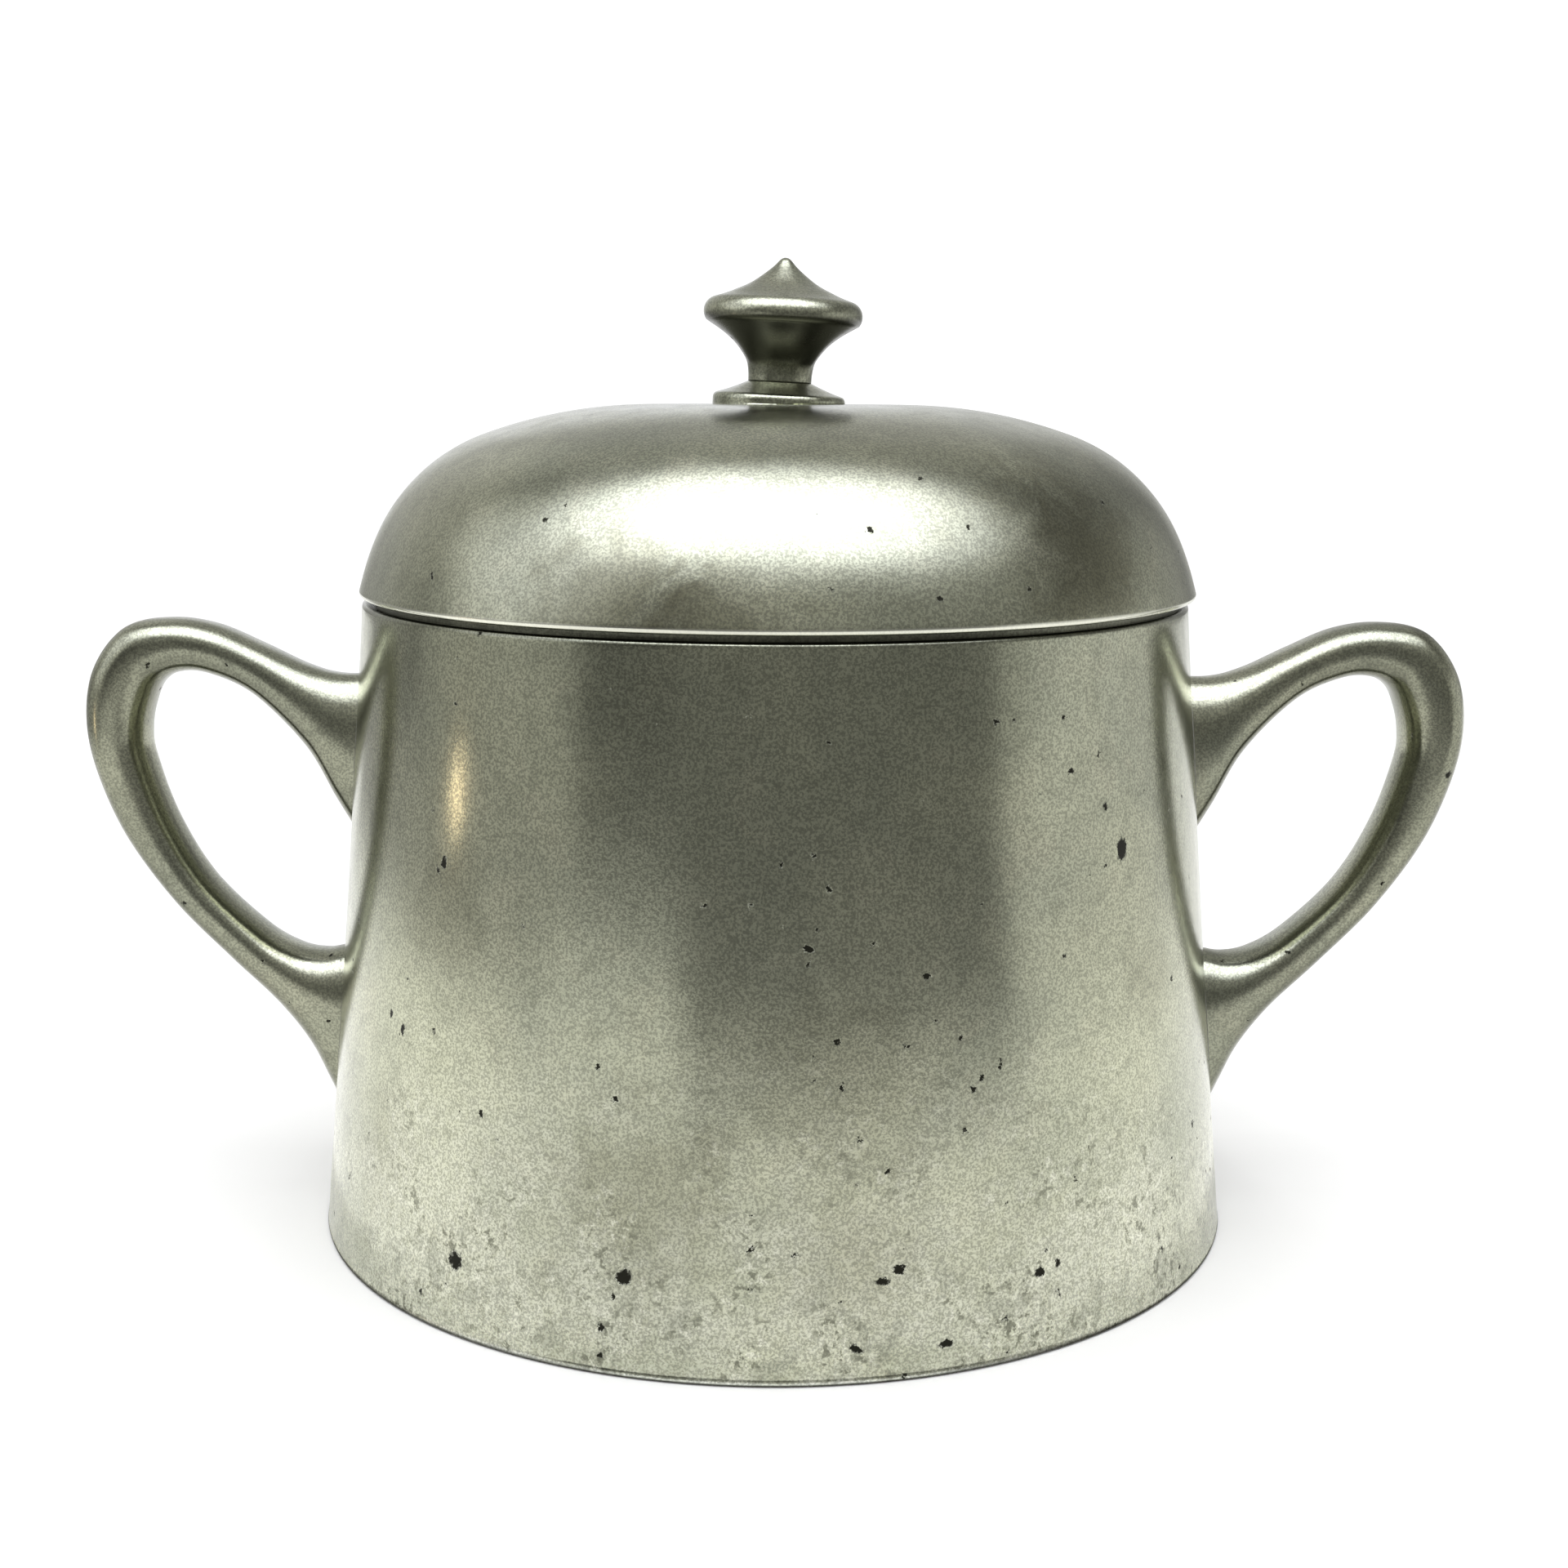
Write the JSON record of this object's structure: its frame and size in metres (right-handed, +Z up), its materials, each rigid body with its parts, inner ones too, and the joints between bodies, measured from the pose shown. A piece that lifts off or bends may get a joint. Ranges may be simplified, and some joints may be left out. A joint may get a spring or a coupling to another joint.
{
  "type": "sugar bowl",
  "caption": "Tapering round metal sugar bowl with ear-shaped side handles and a domed lift-off lid carrying a pointed turned finial.",
  "frame": {"origin": "centre of the bowl's standing face, on the surface it stands on", "axes": "+Z up along the bowl's axis; the handles reach out along +X and -X; the pictured side faces -Y"},
  "size_m": [0.1508, 0.1, 0.1036],
  "materials": {
    "pewter_body": "aged satin pewter with dark pits and pale bloom",
    "pewter_handles": "aged satin pewter, worn smoother",
    "pewter_lid": "aged satin pewter",
    "pewter_finial": "aged satin pewter",
    "solder": "dull soft solder",
    "brass_fittings": "dull turned brass"
  },
  "bodies": {
    "bowl": {"bowl_wall": "pewter_body", "base_plate": "pewter_body", "base_solder": "solder", "handle_left": "pewter_handles", "handle_right": "pewter_handles", "upper_solder_left": "solder", "lower_solder_left": "solder", "upper_solder_right": "solder", "lower_solder_right": "solder"},
    "lid_seat": {"lid_seat_ring": "pewter_lid", "lid_seat_solder": "solder"},
    "lid": {"lid_dome": "pewter_lid", "knob": "pewter_finial", "knob_collar": "pewter_finial", "knob_stud": "brass_fittings", "knob_washer": "brass_fittings", "knob_nut": "brass_fittings"}
  },
  "joints": [
    {"name": "lid_lift", "type": "slide", "parent": "bowl", "child": "lid_seat", "axis": [0, 0, 1], "range_m": [0, 0.06]},
    {"name": "lid_turn", "type": "hinge", "parent": "lid_seat", "child": "lid", "pos_m": [0.00025, 0, 0.0692], "axis": [0, 0, 1], "continuous": true}
  ]
}
